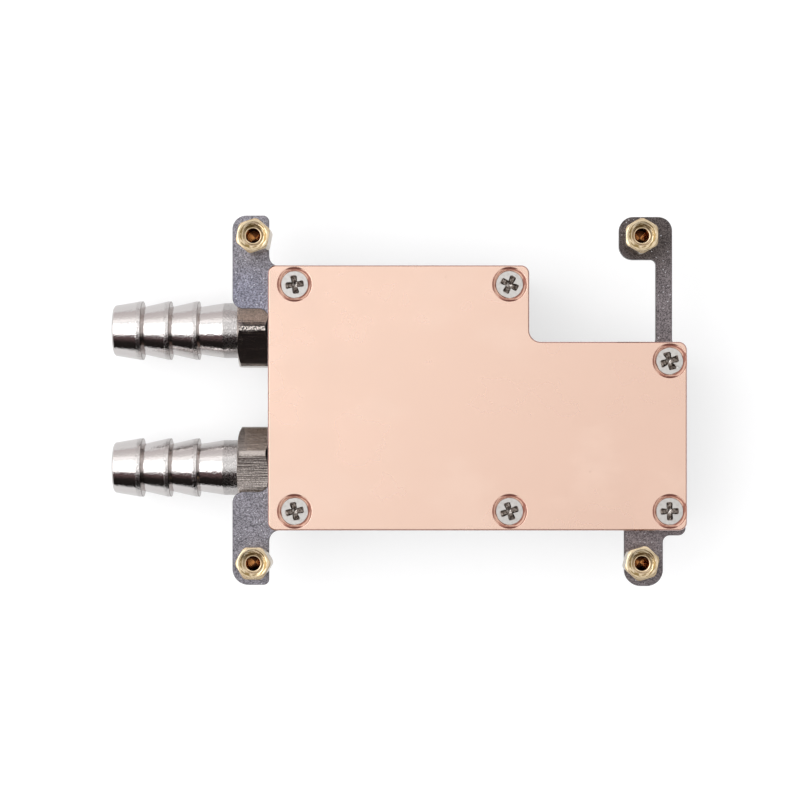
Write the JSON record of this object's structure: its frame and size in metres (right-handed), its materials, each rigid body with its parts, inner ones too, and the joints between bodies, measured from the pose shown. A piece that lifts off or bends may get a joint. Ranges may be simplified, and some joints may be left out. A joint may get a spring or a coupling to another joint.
{
  "type": "cpu water block",
  "caption": "Liquid cooling block: L-shaped copper contact plate over a bracketed housing, with two barbed hose tails on one side and threaded standoffs on the ears.",
  "frame": {"origin": "midway between the four standoffs in plan, on the flat back of the housing, which the block rests on", "axes": "+Z out of the copper contact face, -X along the hose tails, +Y towards the notched side"},
  "size_m": [0.1008, 0.0645, 0.0235],
  "materials": {
    "copper": "lapped bare copper",
    "bracket_steel": "dark grained sheet steel",
    "housing": "moulded black acetal",
    "seal_rubber": "matt",
    "standoff_brass": "turned brass",
    "insert_brass": "turned brass",
    "screw_steel": "nickel-plated steel",
    "nickel": "nickel-plated brass"
  },
  "bodies": {
    "root": {"base_plate": "copper", "bracket": "bracket_steel", "body": "housing", "face_seal": "seal_rubber", "standoff_1": "standoff_brass", "standoff_2": "standoff_brass", "standoff_3": "standoff_brass", "standoff_4": "standoff_brass", "screw_1": "screw_steel", "screw_2": "screw_steel", "screw_3": "screw_steel", "screw_4": "screw_steel", "screw_5": "screw_steel", "screw_6": "screw_steel", "insert_1": "insert_brass", "insert_2": "insert_brass", "insert_3": "insert_brass", "insert_4": "insert_brass", "insert_5": "insert_brass", "insert_6": "insert_brass", "inlet_fitting": "nickel", "outlet_fitting": "nickel", "inlet_seal": "seal_rubber", "outlet_seal": "seal_rubber"}
  },
  "joints": []
}
